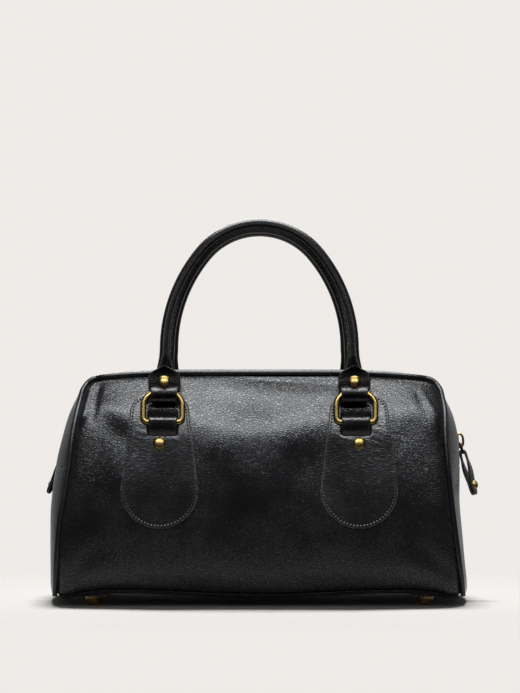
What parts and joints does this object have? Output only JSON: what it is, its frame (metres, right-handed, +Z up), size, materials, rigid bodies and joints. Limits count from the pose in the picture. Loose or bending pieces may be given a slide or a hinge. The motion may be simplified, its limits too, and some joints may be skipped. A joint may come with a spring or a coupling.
{
  "type": "satchel handbag",
  "caption": "Black leather satchel with a soft trapezoid zip-top body, piped edges, rolled arch handles hung on brass D-rings over stitched patches, and brass feet; the handles swing down.",
  "frame": {"origin": "on the floor under the middle of the whole, pulls included, level with the flat undersides of the feet; the body's own middle plane is 2.06 mm to the left, at x = -0.00206, as the right pull hangs out further", "axes": "+X to the bag's right end as seen from the front, +Y to the back (the front panel faces -Y), +Z up"},
  "size_m": [0.3476, 0.158, 0.3046],
  "materials": {
    "grained_leather": "pebbled grain, semi-gloss black",
    "piping_leather": "smooth semi-gloss black",
    "smooth_leather": "fine grain, satin black, stitched edges",
    "handle_leather": "rolled, satin black, with a stitched seam",
    "zip_tape": "woven black tape",
    "antique_brass": "antique brass, darkened in the hollows"
  },
  "bodies": {
    "bag": {"front_panel": "grained_leather", "back_panel": "grained_leather", "base_panel": "grained_leather", "end_panel_right": "grained_leather", "end_panel_left": "grained_leather", "zip_strip_front": "grained_leather", "zip_strip_back": "grained_leather", "piping_front": "piping_leather", "piping_back": "piping_leather", "base_piping_front": "piping_leather", "base_piping_back": "piping_leather", "patch_front_right": "smooth_leather", "patch_front_left": "smooth_leather", "patch_back_right": "smooth_leather", "patch_back_left": "smooth_leather", "ring_loop_front_right": "smooth_leather", "ring_loop_front_left": "smooth_leather", "ring_loop_back_right": "smooth_leather", "ring_loop_back_left": "smooth_leather", "pull_strap_right": "smooth_leather", "pull_strap_left": "smooth_leather", "zip_tape": "zip_tape", "zip_teeth": "antique_brass", "patch_rivet_front_right": "antique_brass", "patch_rivet_front_left": "antique_brass", "patch_rivet_back_right": "antique_brass", "patch_rivet_back_left": "antique_brass", "foot_front_right": "antique_brass", "foot_front_left": "antique_brass", "foot_back_right": "antique_brass", "foot_back_left": "antique_brass", "zip_slider_right": "antique_brass", "zip_slider_left": "antique_brass", "pull_link_right": "antique_brass", "pull_link_left": "antique_brass", "pull_rivet_right": "antique_brass", "pull_rivet_left": "antique_brass"},
    "front_handle_set": {"handle_front": "handle_leather", "handle_tab_front_right": "smooth_leather", "handle_tab_front_left": "smooth_leather", "tab_rivet_front_right": "antique_brass", "tab_rivet_front_left": "antique_brass", "d_ring_front_right": "antique_brass", "d_ring_front_left": "antique_brass"},
    "back_handle_set": {"handle_back": "handle_leather", "handle_tab_back_right": "smooth_leather", "handle_tab_back_left": "smooth_leather", "tab_rivet_back_right": "antique_brass", "tab_rivet_back_left": "antique_brass", "d_ring_back_right": "antique_brass", "d_ring_back_left": "antique_brass"}
  },
  "joints": [
    {"name": "front_handle_swing", "type": "hinge", "parent": "bag", "child": "front_handle_set", "pos_m": [-0.00206, -0.0718, 0.144], "axis": [1, 0, 0], "range_deg": [0, 150]},
    {"name": "back_handle_swing", "type": "hinge", "parent": "bag", "child": "back_handle_set", "pos_m": [-0.00206, 0.0718, 0.144], "axis": [-1, 0, 0], "range_deg": [0, 150]}
  ]
}
